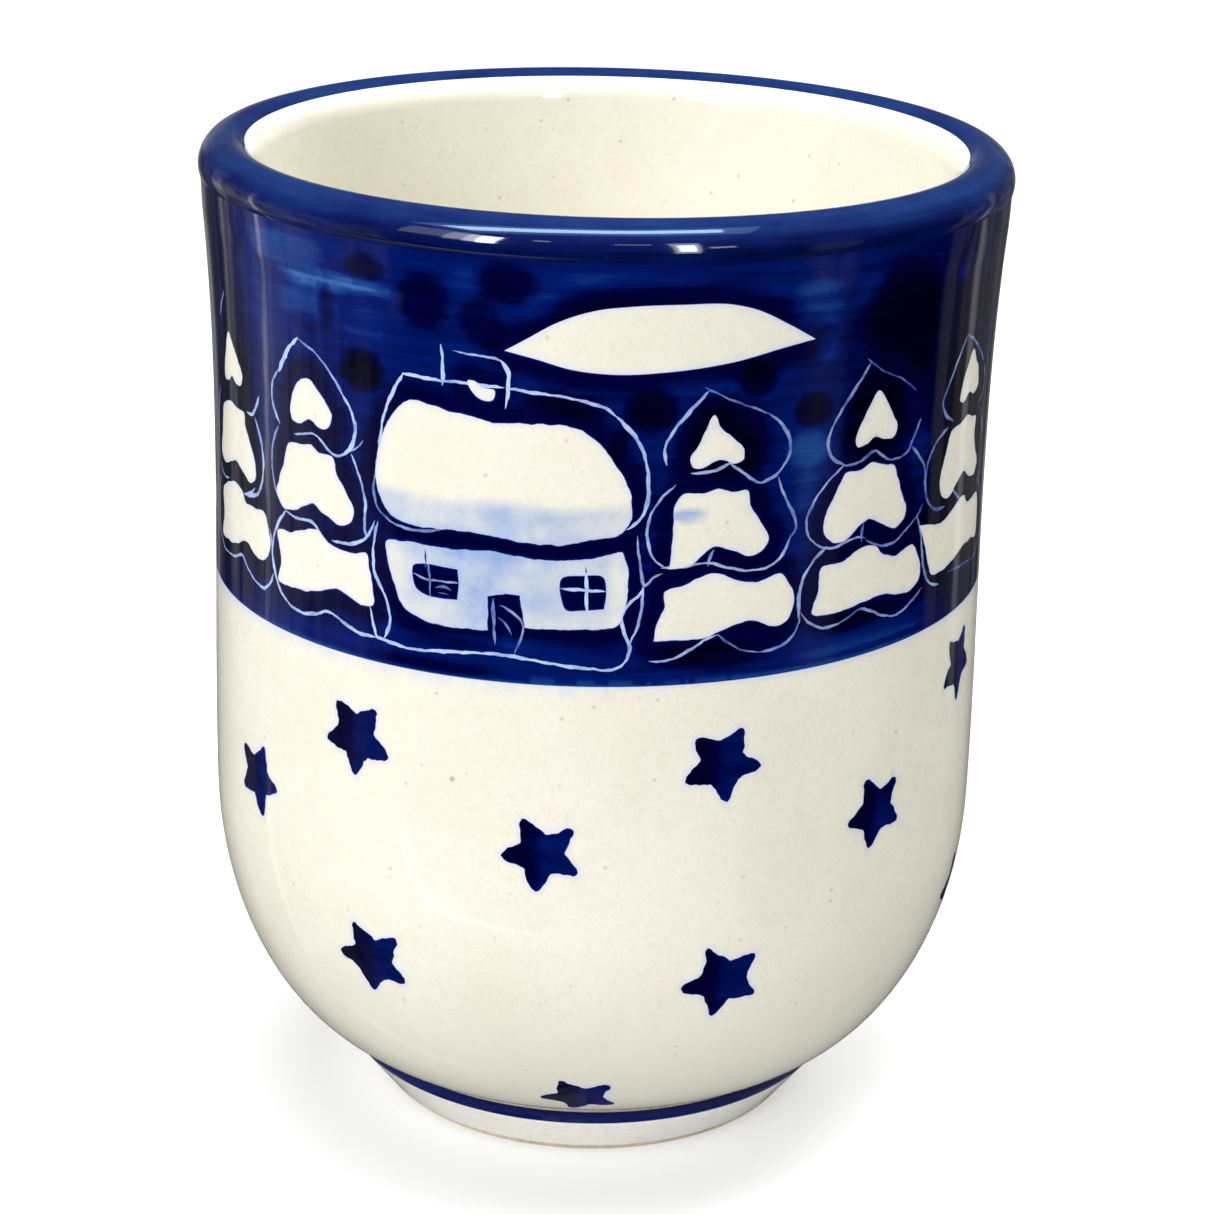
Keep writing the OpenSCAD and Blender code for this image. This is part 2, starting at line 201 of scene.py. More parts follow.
# three lobes of snow on each fir, from the top
TREES = [
    [[(-32.8, 92.4), (-31.9, 91.7), (-30.5, 90.4), (-29.7, 89.0), (-30.1, 87.9), (-31.5, 87.5),
      (-32.9, 88.1), (-34.6, 87.4), (-35.8, 87.4), (-36.1, 88.3), (-35.7, 90.2), (-34.4, 92.0)],
     [(-36.5, 84.8), (-34.6, 85.1), (-32.8, 85.4), (-31.9, 84.9), (-29.6, 84.7), (-29.2, 83.3),
      (-27.8, 81.3), (-26.8, 79.5), (-27.1, 78.5), (-28.5, 77.7), (-30.1, 78.1), (-31.5, 78.6),
      (-32.7, 79.1), (-34.2, 78.5), (-36.0, 77.6), (-38.0, 77.6), (-38.9, 78.9), (-38.4, 80.5),
      (-37.5, 82.5)],
     [(-38.9, 74.5), (-36.0, 75.2), (-34.2, 75.9), (-32.1, 76.4), (-31.0, 75.8), (-29.2, 75.1),
      (-26.9, 75.1), (-25.1, 75.3), (-24.8, 74.0), (-24.3, 71.3), (-24.2, 70.1), (-26.2, 69.8),
      (-27.8, 70.4), (-29.2, 70.7), (-31.0, 70.1), (-33.3, 69.4), (-36.0, 69.1), (-38.8, 69.3),
      (-38.2, 71.0), (-38.5, 73.0)]],
    [[(-49.9, 93.6), (-49.0, 92.8), (-47.5, 91.3), (-46.2, 89.5), (-46.8, 88.4), (-48.0, 88.3),
      (-49.3, 88.8), (-50.5, 88.1), (-51.8, 88.0), (-52.0, 88.8), (-51.3, 91.0), (-50.6, 92.8)],
     [(-50.0, 85.9), (-48.0, 85.6), (-46.0, 85.5), (-45.8, 84.5), (-44.8, 82.8), (-43.4, 80.5),
      (-43.5, 79.0), (-44.8, 78.3), (-46.5, 78.8), (-49.0, 79.6), (-50.5, 79.0), (-53.0, 78.3),
      (-54.4, 78.8), (-53.8, 82.0), (-53.0, 84.8), (-51.5, 85.5)],
     [(-49.0, 77.1), (-47.0, 76.6), (-46.3, 75.9), (-43.9, 75.7), (-41.5, 75.8), (-40.8, 74.5),
      (-40.3, 73.0), (-41.0, 71.0), (-42.5, 70.3), (-46.0, 71.3), (-49.5, 70.0), (-52.0, 69.7),
      (-54.5, 69.7), (-53.8, 72.0), (-54.0, 75.0), (-51.5, 76.4)]],
    [[(11.45, 92.6), (12.0, 91.5), (13.4, 90.1), (14.7, 88.8), (14.7, 87.9), (13.6, 87.5),
      (12.2, 88.0), (11.3, 87.7), (10.4, 87.2), (9.3, 87.3), (9.05, 88.1), (9.95, 89.7)],
     [(8.4, 84.5), (10.6, 84.5), (12.2, 85.0), (13.4, 84.5), (15.2, 84.5), (15.6, 83.1),
      (16.8, 81.0), (17.8, 79.2), (17.2, 78.1), (16.1, 77.6), (14.3, 78.1), (13.1, 78.6),
      (12.0, 78.9), (10.6, 78.0), (9.6, 77.1), (7.2, 76.7, 1), (7.45, 78.5), (7.55, 81.3),
      (7.7, 83.5)],
     [(12.0, 76.05), (13.4, 75.6), (15.0, 74.9), (16.5, 74.7), (19.7, 75.1), (20.3, 74.2),
      (21.0, 72.6), (20.9, 71.3), (20.0, 69.9), (18.4, 69.8), (17.0, 70.4), (15.2, 70.6),
      (13.4, 70.0), (11.1, 69.2), (8.5, 69.1), (5.9, 69.1, 1), (6.1, 70.8), (6.9, 72.6),
      (6.8, 74.2), (8.8, 74.9), (10.2, 75.6)]],
    [[(30.6, 93.1), (31.8, 92.0), (33.1, 89.9), (33.8, 88.8), (33.4, 87.7), (32.2, 87.6),
      (30.5, 88.2), (29.3, 87.6), (28.1, 87.5), (27.8, 88.3), (28.6, 90.1), (29.5, 91.7)],
     [(30.4, 85.5), (31.5, 85.1), (33.8, 84.4), (34.3, 83.3), (35.4, 81.0), (36.1, 79.2),
      (35.6, 78.1), (34.5, 77.5), (33.4, 78.0), (31.5, 78.9), (30.2, 79.4), (28.6, 78.6),
      (27.0, 77.6), (25.2, 77.9), (24.3, 79.0), (24.7, 81.3), (25.9, 83.5), (26.8, 84.9),
      (28.8, 84.9)],
     [(30.2, 76.5), (31.5, 76.2), (33.1, 74.9), (34.5, 74.5), (37.9, 74.9), (38.6, 73.8),
      (39.4, 72.2), (39.0, 70.6), (37.7, 70.0), (35.2, 70.1), (33.4, 70.6), (30.2, 70.4),
      (24.7, 70.0), (23.3, 70.3), (23.8, 72.2), (24.05, 74.0), (24.1, 75.0), (27.0, 75.4),
      (28.8, 76.2)]],
    [[(48.9, 93.9), (50.0, 92.6), (51.3, 91.0), (51.6, 89.3), (50.3, 88.6), (48.8, 89.2),
      (47.3, 88.4), (46.1, 88.8), (46.5, 90.5), (47.5, 92.3)],
     [(49.0, 86.6), (50.5, 86.0), (51.8, 85.8), (51.8, 84.0), (52.5, 82.0), (53.8, 80.0),
      (53.0, 79.1), (51.5, 79.0), (48.5, 80.3), (47.0, 79.6), (44.5, 78.4), (42.8, 79.5),
      (42.6, 81.3), (43.5, 83.5), (44.5, 85.8), (46.5, 86.1)],
     [(38.8, 76.8, 1), (40.3, 76.6), (42.0, 76.1), (45.0, 76.3), (47.5, 77.3), (49.5, 77.4),
      (50.5, 76.5), (55.0, 76.1), (55.7, 74.0), (55.5, 71.3), (53.0, 71.5), (50.5, 71.6),
      (48.0, 71.1), (45.0, 70.5), (41.5, 70.9), (40.8, 72.5), (40.0, 74.5)]]]


def moved(point):
    """A point of the fourth tree, where the sixth one has it."""
    return (point[0] * 0.97 + 39.0, (point[1] - 80) * 1.02 + 80.4) + tuple(point[2:])


# the sixth tree is the fourth one again, a little changed
TREES.append([[moved(p) for p in lobe] for lobe in TREES[3]])

# scratched lines: width, strength of the pale blue, points
LINES = [
    # house
    (0.5, 0.9, [(-24.0, 83.6), (-23.5, 86.8), (-22.9, 90.4), (-21.5, 93.6), (-20.4, 95.4)]),
    (0.5, 0.9, [(-20.6, 95.3), (-18.5, 95.2), (-16.1, 95.1), (-14.2, 95.2), (-12.4, 95.1), (-9.6, 95.1)]),
    (0.45, 0.8, [(-9.4, 95.1), (-6.8, 94.8), (-4.2, 94.6), (-1.5, 94.1), (0.8, 93.3), (1.6, 92.6)]),
    (0.55, 0.8, [(1.4, 92.8), (2.6, 91.6), (3.9, 89.9), (4.6, 88.0), (4.9, 85.6), (4.8, 83.5), (4.0, 81.8),
           (2.8, 80.9)]),
    (0.4, 0.55, [(-24.1, 84.2), (-24.2, 82.0), (-23.7, 80.6), (-22.2, 79.5), (-19.5, 79.0), (-16.4, 79.4)]),
    (0.4, 0.6, [(3.9, 80.3), (4.1, 78.5), (4.4, 76.7), (4.8, 75.0), (5.6, 75.8), (6.6, 76.3)]),
    (0.5, 0.8, [(4.7, 75.0), (4.4, 74.2), (3.1, 72.9), (2.55, 71.3), (2.9, 69.9), (3.45, 68.4), (3.2, 67.2),
           (2.2, 66.2), (-0.1, 66.0)]),
    (0.5, 0.9, [(0.3, 66.1), (-2.0, 66.2), (-4.6, 66.5), (-9.6, 67.0), (-15.5, 66.6), (-20.1, 66.2),
           (-22.6, 66.5), (-23.9, 66.7)]),
    (0.4, 0.7, [(4.7, 74.9), (4.5, 72.2), (4.1, 70.4), (3.3, 68.6)]),
    (0.5, 0.85, [(-23.7, 79.2), (-24.1, 77.6), (-24.3, 74.9), (-24.1, 73.5), (-23.0, 71.7), (-22.3, 69.9),
           (-22.2, 68.3), (-22.9, 66.7)]),
    # chimney
    (0.6, 1.0, [(-16.2, 98.9), (-16.05, 97.0), (-16.1, 94.6)]),
    (0.35, 0.7, [(-15.0, 98.35), (-12.6, 98.15), (-10.6, 98.0), (-9.7, 97.7)]),
    (0.6, 1.0, [(-10.0, 97.9), (-9.35, 97.0), (-9.25, 95.0), (-9.5, 92.9)]),
    # windows and door
    (0.35, 0.5, [(-17.95, 77.0), (-17.6, 74.9), (-17.45, 72.2)]),
    (0.4, 0.6, [(-19.5, 74.4), (-17.9, 74.0), (-16.2, 74.05), (-14.3, 74.1)]),
    (0.5, 0.3, [(-16.9, 73.3), (-15.9, 73.5), (-15.1, 73.2)]),
    (0.35, 0.2, [(-16.6, 72.8), (-15.3, 72.7)]),
    (0.5, 1.0, [(-1.1, 76.4), (-1.05, 74.3), (-1.0, 72.0)]),
    (0.45, 1.0, [(-3.7, 74.55), (-1.8, 74.5), (0.9, 74.4)]),
    (0.5, 0.55, [(-10.65, 73.0), (-10.5, 70.5), (-10.35, 68.0)]),
    (0.4, 0.5, [(-9.9, 72.3), (-9.0, 71.9), (-8.1, 71.3), (-7.4, 70.2), (-7.7, 68.8), (-8.3, 67.2)]),
    (0.35, 0.3, [(-10.1, 71.0), (-9.1, 70.2), (-8.6, 69.2)]),
    # first tree left of the house
    (0.8, 1.0, [(-34.4, 96.5), (-35.9, 95.2), (-37.2, 93.4), (-38.0, 92.1)]),
    (0.5, 0.7, [(-38.0, 92.4), (-39.1, 91.0), (-39.5, 89.5), (-39.1, 87.9), (-38.0, 86.4)]),
    (0.4, 0.6, [(-34.6, 96.4), (-31.8, 95.4), (-29.6, 93.6), (-27.8, 91.4)]),
    (0.6, 0.85, [(-28.2, 91.9), (-26.9, 90.0), (-26.5, 88.5), (-26.9, 86.8), (-27.6, 85.8), (-28.6, 85.1)]),
    (0.4, 0.75, [(-27.8, 85.6), (-28.8, 85.1), (-30.1, 85.3), (-31.4, 86.3), (-32.7, 86.7), (-34.1, 86.3),
           (-35.6, 86.0)]),
    (0.35, 0.6, [(-27.3, 85.8), (-26.3, 86.5), (-25.5, 87.4)]),
    (0.45, 0.75, [(-27.1, 85.7), (-25.9, 83.1), (-25.3, 80.8), (-25.4, 78.1), (-25.1, 76.9)]),
    (0.5, 0.9, [(-29.9, 75.8), (-27.9, 75.9), (-26.2, 76.4), (-24.9, 77.5), (-24.1, 79.2)]),
    (0.4, 0.6, [(-38.3, 86.3), (-39.4, 84.4), (-39.8, 81.8), (-39.3, 79.5), (-38.2, 77.8)]),
    (0.45, 0.8, [(-37.4, 77.2), (-35.2, 76.9), (-33.0, 77.1), (-31.4, 76.2)]),
    (0.5, 0.85, [(-37.2, 77.3), (-38.5, 75.8), (-39.5, 74.0), (-39.9, 72.0), (-39.4, 70.0), (-38.5, 68.3),
           (-37.0, 67.2), (-34.6, 66.7), (-32.2, 67.2), (-30.3, 67.9), (-28.4, 67.3), (-26.2, 66.6),
           (-23.7, 66.6)]),
    (0.55, 0.9, [(-24.7, 69.8), (-24.2, 67.9), (-23.7, 66.6), (-22.8, 66.6)]),
    # second tree left of the house
    (0.5, 0.5, [(-52.9, 94.6), (-51.6, 96.7), (-50.6, 97.8)]),
    (0.6, 0.9, [(-45.4, 85.9), (-43.8, 86.1), (-42.9, 87.2), (-42.2, 88.4)]),
    (0.55, 0.8, [(-43.4, 85.9), (-42.2, 84.0), (-41.6, 81.5), (-41.9, 79.3), (-42.9, 77.6), (-44.5, 76.9),
           (-46.6, 76.5)]),
    (0.45, 0.8, [(-43.6, 78.0), (-44.8, 77.1), (-46.4, 76.5)]),
    (0.45, 0.75, [(-51.8, 68.2), (-49.3, 68.6), (-47.2, 69.4), (-45.4, 68.3), (-43.4, 67.5), (-41.6, 67.4),
           (-40.3, 68.4), (-39.7, 69.6)]),
    (0.4, 0.8, [(-39.8, 70.2), (-39.9, 72.0), (-40.3, 74.4)]),
    (0.4, 0.6, [(-54.6, 86.5), (-55.8, 83.5), (-56.2, 80.5), (-55.4, 77.6), (-53.5, 76.6), (-51.3, 76.9)]),
    (0.4, 0.6, [(-55.3, 76.6), (-56.4, 73.0), (-56.0, 70.0), (-53.8, 68.3), (-51.6, 68.2)]),
    # first tree right of the house
    (0.5, 0.8, [(10.7, 95.2), (8.8, 93.1), (7.1, 90.9), (6.4, 89.2), (6.7, 87.6)]),
    (0.3, 0.45, [(10.2, 95.6), (12.9, 94.2), (15.8, 93.0), (17.6, 92.2)]),
    (0.5, 0.7, [(17.2, 92.4), (18.8, 91.0), (19.8, 88.5), (18.9, 86.5), (17.8, 85.6), (16.5, 85.2)]),
    (0.4, 0.6, [(18.2, 85.8), (16.6, 85.2), (15.0, 86.2), (13.1, 87.6)]),
    (0.45, 0.8, [(13.4, 87.6), (11.3, 86.8), (9.1, 86.7)]),
    (0.4, 0.7, [(7.7, 85.6), (6.1, 84.0), (5.0, 81.7), (5.1, 79.2), (5.9, 77.5), (6.9, 76.9)]),
    (0.4, 0.75, [(6.4, 76.9), (8.8, 76.9), (11.3, 77.2), (13.2, 76.6), (16.1, 76.0), (18.4, 76.4),
           (19.7, 77.7), (20.3, 79.4)]),
    (0.45, 0.5, [(11.3, 76.8), (11.4, 77.7), (11.9, 78.6)]),
    (0.45, 0.7, [(18.5, 85.7), (19.4, 83.5), (20.4, 81.7), (20.9, 80.1), (20.2, 78.9)]),
    (0.4, 0.7, [(5.4, 66.9), (7.5, 67.0), (9.5, 67.9), (11.5, 69.1), (12.7, 69.5)]),
    (0.3, 0.5, [(12.5, 69.5), (13.8, 68.4), (15.6, 67.4), (17.4, 67.1)]),
    (0.4, 0.65, [(17.2, 67.1), (19.2, 67.3), (21.1, 68.4), (21.8, 70.1)]),
    (0.55, 0.8, [(21.8, 69.5), (21.6, 72.3), (22.0, 74.3), (23.3, 76.2), (24.8, 77.4)]),
    # second tree right of the house
    (0.5, 0.75, [(29.2, 96.3), (28.0, 94.7), (26.5, 92.8), (25.1, 90.8), (24.3, 89.0), (24.5, 87.4),
           (25.6, 86.3), (26.7, 85.8)]),
    (0.3, 0.5, [(28.6, 96.8), (31.0, 95.1), (33.9, 93.8), (36.6, 92.0)]),
    (0.45, 0.7, [(26.2, 85.8), (28.4, 85.8), (29.6, 86.3), (30.7, 86.7), (31.7, 86.0), (33.0, 85.3),
           (35.0, 85.2)]),
    (0.55, 0.7, [(34.6, 85.2), (35.8, 85.6), (36.6, 86.8), (37.8, 88.8)]),
    (0.4, 0.75, [(26.6, 85.9), (24.7, 84.5), (22.9, 82.4), (22.1, 80.4), (22.5, 78.8), (23.8, 77.6),
           (25.3, 77.1), (27.0, 77.4), (28.8, 77.7), (30.0, 77.4)]),
    (0.5, 0.7, [(29.5, 77.0), (29.4, 78.0), (29.7, 79.2)]),
    (0.4, 0.65, [(30.0, 77.2), (32.0, 76.2), (34.3, 76.0), (36.4, 77.0), (38.4, 78.2), (39.3, 79.2)]),
    (0.45, 0.65, [(36.3, 86.2), (37.7, 84.9), (39.0, 83.4), (39.5, 81.2), (39.9, 79.9)]),
    (0.4, 0.75, [(21.8, 70.8), (22.8, 69.6), (24.7, 68.6), (27.5, 68.9), (29.8, 69.7), (31.2, 69.2),
           (33.0, 68.3), (35.6, 67.8), (37.9, 68.6), (40.0, 69.7)]),
    (0.55, 0.8, [(38.2, 78.0), (39.0, 76.4), (39.5, 74.2), (40.2, 71.5), (41.4, 69.8), (43.6, 69.0)]),
    # third tree right of the house
    (0.5, 0.75, [(46.6, 96.0), (44.8, 93.8), (43.1, 91.4), (42.0, 89.4), (43.0, 87.9), (44.8, 86.9)]),
    (0.45, 0.6, [(46.3, 96.0), (48.4, 95.1), (50.4, 93.8), (53.2, 91.6)]),
    (0.55, 0.65, [(43.7, 86.5), (41.5, 85.6), (40.0, 84.0), (39.4, 82.0), (39.7, 80.1), (40.8, 78.5),
           (42.6, 77.7), (44.0, 77.7)]),
    (0.5, 0.7, [(45.5, 79.5), (46.7, 78.4), (48.1, 77.4)]),
    (0.4, 0.4, [(45.5, 69.9), (47.5, 69.6), (51.0, 69.3), (55.2, 68.6)]),
    (0.45, 0.6, [(53.5, 91.2), (54.6, 89.4), (54.0, 87.6), (52.6, 86.9)]),
    (0.45, 0.6, [(53.2, 86.6), (55.2, 84.0), (56.4, 81.0), (55.8, 78.4), (54.0, 77.3)]),
    (0.45, 0.6, [(55.4, 77.7), (57.2, 75.4), (57.8, 72.2), (57.0, 69.8), (55.0, 68.6)]),
]
# the lines round the sixth tree
LINES += [(w, s, [moved(p) for p in pts]) for w, s, pts in LINES if 21.7 <= pts[0][0] <= 36.5]

# soft dabs of thicker (below 0) or thinner (above 0) cobalt: u, v, half width, half height,
# lean, amount
DABS = [(-52, 85, 12, 32, 0, -0.4), (36, 98, 15, 13, 0, -0.3), (53, 84, 16, 34, 0, -0.55),
        (3, 101, 11, 5, 0, -0.2), (-29, 103.4, 9, 0.9, 2, 0.8), (-36, 105.5, 7, 2.2, 0, 0.35),
        (-33, 100.5, 5, 2.5, 0, 0.3),
        (-30.0, 100.5, 1.2, 2.6, 0, -0.5), (-24.8, 105.6, 2.6, 1.7, 0, -0.5),
        (-25.5, 94.8, 2.8, 2.4, 0, -0.9),
        (-25, 99.3, 3, 2.6, 0, 0.15), (-42.5, 98, 2.8, 9, 0, 0.12), (-42.5, 86, 2.4, 8, 0, 0.1),
        (-18.2, 103.2, 3.2, 3.2, 0, -0.45), (-12.0, 101.5, 2.5, 3.0, 25, -0.35),
        (-9.4, 105.8, 3.4, 2.3, 0, -0.5),
        (-6.0, 103.6, 2.6, 1.6, 30, 0.25), (-13.5, 105.4, 2.2, 1.8, 0, 0.2), (3.5, 106.4, 9, 1.0, 0, 0.15),
        (5.0, 93.2, 2.8, 2.4, 0, -0.7), (15.8, 96.2, 2.2, 1.9, 0, -0.7), (22.3, 92.2, 2.4, 2.0, 0, -0.7),
        (9.5, 95.8, 4.5, 1.2, 0, 0.15), (22.0, 103.0, 3.3, 3.4, 0, 0.3), (23.4, 98.6, 1.7, 1.7, 0, 0.35),
        (22.0, 88.2, 2.9, 2.3, 0, 0.5), (22.0, 83.6, 1.6, 2.6, 0, 0.2), (33.5, 101, 6.5, 5.5, 0, -0.7),
        (28.6, 103.8, 2.3, 1.8, 0, 0.3), (38.3, 86.0, 2.2, 2.2, 0, 0.25), (37.0, 97.0, 3.0, 4.0, 0, -0.5),
        (43.8, 103.2, 1.4, 1.0, 0, 0.4), (30.5, 90.5, 4.6, 5.4, 0, -0.6), (13.0, 90.0, 5.4, 4.4, 0, -0.5),
        (12.0, 67.3, 6.5, 1.6, 0, -0.6), (30.0, 68.6, 6.0, 1.3, 0, -0.5), (-17, 64.9, 9, 0.8, 0, -0.3),
        (-10, 68.2, 9, 0.9, 0, 0.2), (-4.0, 93.7, 4.5, 1.3, -8, -0.6), (36, 66.0, 16, 0.7, 0, 0.3),
        (1.8, 89.6, 0.9, 3.4, -25, -0.4), (-33, 98.6, 2.6, 1.2, 0, -0.3), (-31, 67.6, 3.5, 1.6, 0, -0.2),
        (56, 97, 3, 6, 0, 0.25), (62, 103, 7, 1.1, 0, 0.5), (66, 97.5, 3, 2.0, 0, -0.6),
        (74, 101, 3.5, 3, 0, 0.25), (71, 104.8, 3, 1.6, 0, -0.5), (78, 90, 2.5, 6, 0, 0.2)]

# rows of stars: place of the first, height, turn, size, how many
CLEAR = 6               # no star stands nearer than this to the join behind the cup
STAR_ROWS = [(-26.4, 55.0, 0, 1.0, 7), (-5.1, 45.4, 10, 1.0, 7), (-24.8, 29.4, 11, 1.07, 7),
             (-0.8, 11.3, 10, 1.03, 4)]
# stars that stand away from their row's even spacing: row, place, du, dv, turn
STAR_SHIFT = {(0, 0): (0, 0, 0), (0, 1): (0.8, 0.3, -6), (0, 2): (-1.6, 2.9, -5), (1, 0): (0, 0, 0),
              (1, 1): (-0.5, 0.6, 2), (1, 6): (1.0, -0.4, -25), (2, 0): (0, 0, -1), (2, 1): (0.4, 0.4, 1),
              (2, 2): (3.6, -1.0, 8), (3, 0): (0, 0, 0)}


def star_line(turn, size, seed):
    """One print of the star stamp, round its own middle, in millimetres."""
    r = rng(seed)
    pts = []
    for k in range(5):
        a = math.radians(turn + 180 + 72 * k + r.uniform(-3, 3))
        tip = 4.35 * size * r.uniform(0.96, 1.03)
        notch = 2.5 * size * r.uniform(0.95, 1.06)
        blunt = r.uniform(0.38, 0.58)
        b = math.radians(turn + 216 + 72 * k)
        # a blunted tip and a notch, each between two corners
        for mid, reach, spread, step in ((a, tip, blunt / tip, -0.3), (b, notch, 0.1, 0.12)):
            for ang, rad, corner in ((mid - spread, reach + step, (1,)), (mid, reach, ()),
                                     (mid + spread, reach + step, (1,))):
                pts.append((rad * math.sin(ang), rad * math.cos(ang)) + corner)
    return wander(smooth(pts, True, 0.3), 0.12, seed)


def star_places():
    out = []
    for i, (u, v, turn, size, count) in enumerate(STAR_ROWS):
        for k in range(count):
            r = rng(100 * i + k)
            du, dv, dt = STAR_SHIFT.get((i, k), (r.uniform(-0.8, 0.8), r.uniform(-0.6, 0.6),
                                                 r.choice((-28, -8, 0, 9, 24))))
            out.append((u + k * TURN / count + du, v + dv, turn + dt, size, 100 * i + k))
    return out


# ---------------------------------------------------------------- cutting the painting into its fields
def turns_left(line):
    x, y = line.T
    return (x * np.roll(y, -1) - y * np.roll(x, -1)).sum() > 0


def search_tree(points):
    tree = KDTree(len(points))
    for i, p in enumerate(points):
        tree.insert((p[0], p[1], 0), i)
    tree.balance()
    return tree


def arrange(outer, fields, grid, rings):
    """Triangulates the plane inside outer. fields is a list of (tag, closed line).
    Returns points, triangles, and for each triangle the tags of the fields it lies in."""
    pts, faces, tags = [], [], []
    fields = [(tag, line if turns_left(line) else line[::-1]) for tag, line in fields]
    for tag, line in [("ground", outer)] + fields:
        faces.append(list(range(len(pts), len(pts) + len(line))))
        pts += [tuple(p) for p in line]
        tags.append(tag)
    tree = search_tree(pts)
    lo, hi = outer.min(0), outer.max(0)
    extra = []
    for tag, line in fields:
        if tag in rings:
            t = np.roll(line, -1, 0) - np.roll(line, 1, 0)
            nrm = np.stack([t[:, 1], -t[:, 0]], -1) / (np.hypot(*t.T)[:, None] + 1e-9)
            for d in rings[tag]:
                q = (line + nrm * d)[::1 if abs(d) < 0.4 else 2]
                extra += [tuple(p) for p in q if tree.find((p[0], p[1], 0))[2] > abs(d) * 0.75]
    for p in extra:
        if lo[0] + 0.05 < p[0] < hi[0] - 0.05 and lo[1] + 0.05 < p[1] < hi[1] - 0.05:
            pts.append(p)
    r = rng(7)
    rows = int((hi[1] - lo[1]) / (grid * 0.866))
    for j in range(1, rows):
        y = lo[1] + (hi[1] - lo[1]) * j / rows
        cols = int((hi[0] - lo[0]) / grid)
        for i in range(1, cols):
            x = lo[0] + (hi[0] - lo[0]) * (i + (j % 2) * 0.5 - 0.25) / cols
            x, yy = x + r.uniform(-0.1, 0.1) * grid, y + r.uniform(-0.1, 0.1) * grid
            if tree.find((x, yy, 0))[2] > min(0.5, grid * 0.5):
                pts.append((x, yy))
    co, _, tris, _, _, origin = delaunay_2d_cdt([Vector(p) for p in pts], [], faces, 1, 1e-5, True)
    co = np.array([tuple(c) for c in co])
    keep = [(t, {tags[k] for k in o}) for t, o in zip(tris, origin) if len(t) == 3 and o]
    return co, np.array([k[0] for k in keep]), [k[1] for k in keep]


def near(co, lines):
    """Distance of each point from the nearest of these closed lines."""
    pts = np.concatenate([np.concatenate([l, (l + np.roll(l, -1, 0)) / 2]) for l in lines])
    tree = search_tree(pts)
    return np.array([tree.find((x, y, 0))[2] for x, y in co])


def soft_step(x, a, b):
    t = np.clip((x - a) / (b - a), 0, 1)
    return t * t * (3 - 2 * t)


# ---------------------------------------------------------------- meshes
def finish_piece(obj, material, slot, *nodes):
    bpy.context.scene.collection.objects.link(obj)
    obj.data.materials.append(material)
    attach(obj, "root")
    if nodes:
        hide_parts(*nodes)


def coat_mesh(name, parts, thick=COAT * 0.8):
    """A thin closed coat on the wall.
    parts are (points, triangles, {attribute: values}, shift round the wall)."""
    P, N, A, F = [], [], {}, []
    walls, base = [], 0
    for co, tris, attrs, shift in parts:
        used, inv = np.unique(tris, return_inverse=True)
        tri = inv.reshape(-1, 3)
        uv = co[used]
        outer, n = on_wall(uv[:, 0] + shift, uv[:, 1])
        inner, _ = on_wall(uv[:, 0] + shift, uv[:, 1], -thick)
        m = len(used)
        e = np.concatenate([tri[:, [0, 1]], tri[:, [1, 2]], tri[:, [2, 0]]])
        have = set(map(tuple, e.tolist()))
        rim = np.array([(a, b) for a, b in have if (b, a) not in have], int).reshape(-1, 2)
        P += [outer, inner]
        N += [n, -n]
        F += [tri + base, tri[:, ::-1] + base + m]
        walls.append(np.stack([rim[:, 0] + m, rim[:, 1] + m, rim[:, 1], rim[:, 0]], -1) + base)
        attrs = dict(attrs, paint_u=co[:, 0] + shift, paint_v=co[:, 1])
        for k, val in attrs.items():
            A.setdefault(k, []).append(np.concatenate([val[used], val[used]]))
        base += 2 * m
    P, N, F, W = np.concatenate(P), np.concatenate(N), np.concatenate(F), np.concatenate(walls)
    me = bpy.data.meshes.new(name)
    nt, nq = len(F), len(W)
    me.vertices.add(len(P))
    me.vertices.foreach_set("co", P.astype(np.float32).ravel())
    me.loops.add(3 * nt + 4 * nq)
    me.loops.foreach_set("vertex_index", np.concatenate([F.ravel(), W.ravel()]).astype(np.int32))
    me.polygons.add(nt + nq)
    starts = np.concatenate([np.arange(nt) * 3, 3 * nt + np.arange(nq) * 4])
    me.polygons.foreach_set("loop_start", starts.astype(np.int32))
    me.update(calc_edges=True)
    me.polygons.foreach_set("use_smooth", np.ones(nt + nq, bool))
    q = P[W]
    wn = np.cross(q[:, 1] - q[:, 0], q[:, 3] - q[:, 0])
    wn /= np.linalg.norm(wn, axis=1)[:, None] + 1e-12
    me.normals_split_custom_set(np.concatenate([N[F.ravel()], np.repeat(wn, 4, 0)]).tolist())
    for k, val in A.items():
        data = me.attributes.new(k, "FLOAT", "POINT").data
        data.foreach_set("value", np.concatenate(val).astype(np.float32))
    return bpy.data.objects.new(name, me)


def turned_mesh(name, line, segs=288, sharp=38):
    """A closed outline of (radius, height) turned round the axis."""
    line = np.array(line, float)
    a = np.arange(segs) * 2 * math.pi / segs
    verts, faces, index = [], [], []
    for r, z in line:
        if r < 1e-6:
            index.append([len(verts)] * segs)
            verts.append((0, 0, z * MM))
        else:
            index.append(list(range(len(verts), len(verts) + segs)))
            verts += [(r * math.sin(t) * MM, -r * math.cos(t) * MM, z * MM) for t in a]
    n = len(line)
    for i in range(n):
        p, q = index[i], index[(i + 1) % n]
        for k in range(segs):
            f = [p[k], p[(k + 1) % segs], q[(k + 1) % segs], q[k]]
            f = [x for j, x in enumerate(f) if x not in f[:j]]
            if len(f) > 2:
                faces.append(f)
    me = bpy.data.meshes.new(name)
    me.from_pydata(verts, [], faces)
    me.validate()
    me.shade_smooth()
    me.set_sharp_from_angle(angle=math.radians(sharp))
    return bpy.data.objects.new(name, me)


